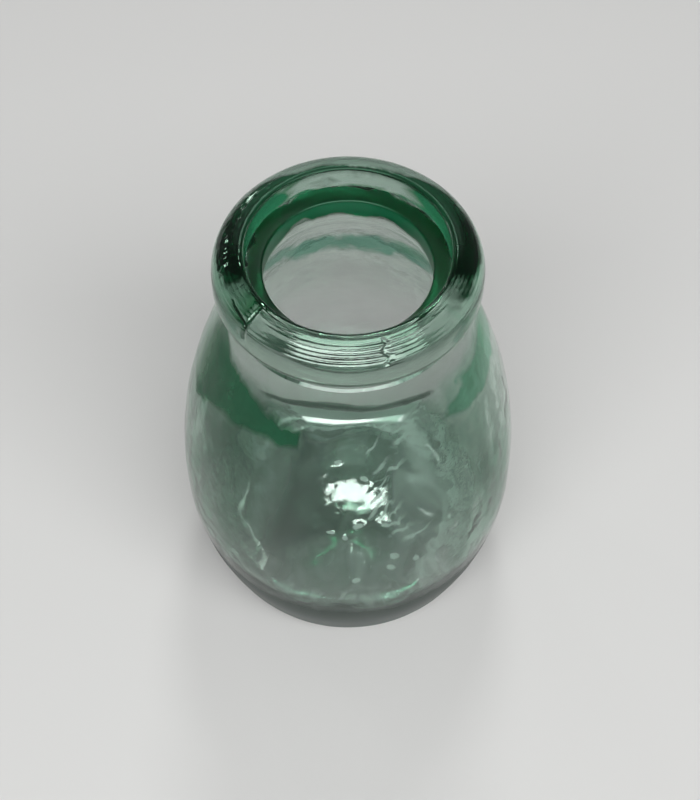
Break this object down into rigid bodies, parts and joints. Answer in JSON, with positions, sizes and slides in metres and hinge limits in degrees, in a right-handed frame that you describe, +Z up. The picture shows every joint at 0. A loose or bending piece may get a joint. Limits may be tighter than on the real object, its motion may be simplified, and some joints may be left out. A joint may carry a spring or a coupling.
{
  "type": "glass milk bottle",
  "caption": "Squat wide-mouth milk bottle of pale green glass, with a rounded heel, a long sloping shoulder and a tooled lip that has a seat for a pressed card cap.",
  "frame": {"origin": "on the bottle's axis, in the plane of the bearing ring that it stands on", "axes": "+Z up the bottle's axis, out of the mouth; +X and +Y are level, and the bottle is a body of revolution"},
  "size_m": [0.079, 0.079, 0.11],
  "materials": {
    "body_glass": "gloss, wavy old glass with seeds",
    "lip_glass": "gloss, with fine rings from the lipping tool"
  },
  "bodies": {
    "root": {"bottle_body": "body_glass", "lip_ring": "lip_glass"}
  },
  "joints": []
}
